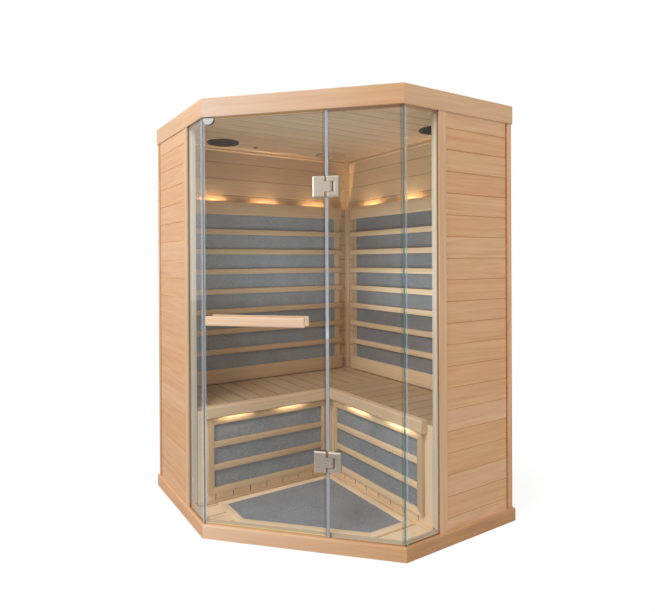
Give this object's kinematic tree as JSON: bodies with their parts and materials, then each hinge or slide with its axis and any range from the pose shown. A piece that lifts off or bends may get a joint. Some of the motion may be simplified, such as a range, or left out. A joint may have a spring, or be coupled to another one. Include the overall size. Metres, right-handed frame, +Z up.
{
  "type": "infrared sauna cabin",
  "caption": "Corner infrared sauna cabin: boarded timber walls, frameless glass front with a hinged glass door, slatted heater backrests, L-shaped bench and heated floor.",
  "frame": {"origin": "on the floor, at the middle of the square that encloses the five-sided plan", "axes": "+Z up; the room corner is at +X +Y and the glass front faces -X -Y"},
  "size_m": [1.31, 1.31, 1.95],
  "materials": {
    "outer_wood": "planed softwood, warm oiled",
    "inner_wood": "planed softwood, untreated",
    "heater_face": "matt grey heater face with fine speckle",
    "clear_glass": "clear toughened glass",
    "clear_seal": "translucent seal strip",
    "satin_nickel": "satin nickel",
    "pale_plastic": "pale grey moulded",
    "dark_plastic": "dark moulded",
    "painted_steel": "grey powder coat",
    "warm_light": "warm light diffuser"
  },
  "bodies": {
    "cabin": {"floor_panel": "inner_wood", "front_plinth": "outer_wood", "left_plinth": "outer_wood", "right_plinth": "outer_wood", "floor_heater": "heater_face", "floor_heater_border": "inner_wood", "left_wall_panel": "outer_wood", "right_wall_panel": "outer_wood", "left_wall_lining": "inner_wood", "right_wall_lining": "inner_wood", "left_glazing_post": "outer_wood", "right_glazing_post": "outer_wood", "back_left_wall_panel": "outer_wood", "back_right_wall_panel": "outer_wood", "back_left_wall_lining": "inner_wood", "back_right_wall_lining": "inner_wood", "front_fascia": "outer_wood", "left_fascia": "outer_wood", "right_fascia": "outer_wood", "ceiling_boards": "inner_wood", "roof_panel": "outer_wood", "roof_cover": "outer_wood", "left_side_glass": "clear_glass", "right_side_glass": "clear_glass", "front_fixed_glass": "clear_glass", "hinge_seal_bottom": "clear_seal", "hinge_seal_middle": "clear_seal", "hinge_seal_top": "clear_seal", "strike_seal": "clear_seal", "upper_hinge_pane_leaf": "satin_nickel", "lower_hinge_pane_leaf": "satin_nickel", "magnet_catch": "pale_plastic", "left_bench_rail": "inner_wood", "right_bench_rail": "inner_wood", "left_bench_top": "inner_wood", "right_bench_top": "inner_wood", "left_bench_face": "inner_wood", "right_bench_face": "inner_wood", "left_bench_heater_frame": "inner_wood", "right_bench_heater_frame": "inner_wood", "left_bench_heater": "heater_face", "right_bench_heater": "heater_face", "left_backrest_frame": "inner_wood", "right_backrest_frame": "inner_wood", "left_back_heater": "heater_face", "right_back_heater": "heater_face", "left_back_light_bar": "warm_light", "right_back_light_bar": "warm_light", "left_speaker": "dark_plastic", "right_speaker": "dark_plastic", "power_box": "painted_steel", "control_panel": "dark_plastic"},
    "door": {"door_glass": "clear_glass", "upper_hinge_door_leaf": "satin_nickel", "lower_hinge_door_leaf": "satin_nickel", "outer_handle_bar": "inner_wood", "inner_handle_bar": "inner_wood", "door_strike_plate": "pale_plastic"},
    "vent": {"vent_disc": "inner_wood"}
  },
  "joints": [
    {"name": "door_hinge", "type": "hinge", "parent": "cabin", "child": "door", "pos_m": [-0.23708, -0.4166, 0.9595], "axis": [0, 0, 1], "range_deg": [0, 90]},
    {"name": "vent_turn", "type": "hinge", "parent": "cabin", "child": "vent", "pos_m": [0.39, 0.49, 1.885], "axis": [0, 0, 1], "range_deg": [0, 22.5]}
  ]
}
